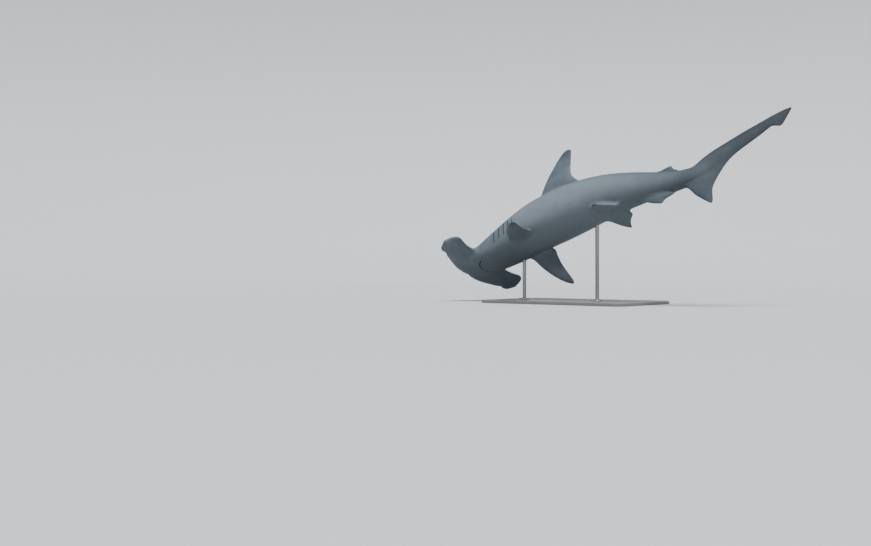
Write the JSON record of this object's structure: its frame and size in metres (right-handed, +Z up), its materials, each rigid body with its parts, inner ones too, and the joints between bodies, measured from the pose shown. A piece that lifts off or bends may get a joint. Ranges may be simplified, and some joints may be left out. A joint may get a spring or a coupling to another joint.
{
  "type": "scalloped hammerhead shark display model",
  "caption": "Life-size still model of a scalloped hammerhead shark, swimming nose down and banked with its tail swung aside, held over a flat base by short rods.",
  "frame": {"origin": "centre of the stand base's underside, which rests on the floor", "axes": "+Z up; the shark heads along -X, nose down, and turns its left side to -Y; its back leans to +Y"},
  "size_m": [2.233, 0.8342, 1.1944],
  "materials": {
    "skin": "matt rough fish skin, slate grey back fading to a pale belly",
    "fin_skin": "matt rough fish skin, slate grey with dusky tips",
    "eye": "wet glossy golden brown eye with a dark pupil",
    "stand_board": "satin charcoal painted board with eased edges",
    "stand_steel": "brushed steel"
  },
  "bodies": {
    "root": {"head": "skin", "gill_region": "skin", "trunk": "skin", "tail": "skin", "caudal_upper": "fin_skin", "caudal_lower": "fin_skin", "dorsal_first": "fin_skin", "dorsal_second": "fin_skin", "anal_fin": "fin_skin", "pectoral_left": "fin_skin", "pectoral_right": "fin_skin", "pelvic_left": "fin_skin", "pelvic_right": "fin_skin", "eye_left": "eye", "eye_right": "eye", "stand_base": "stand_board", "stand_rod_front": "stand_steel", "stand_rod_rear": "stand_steel"}
  },
  "joints": []
}
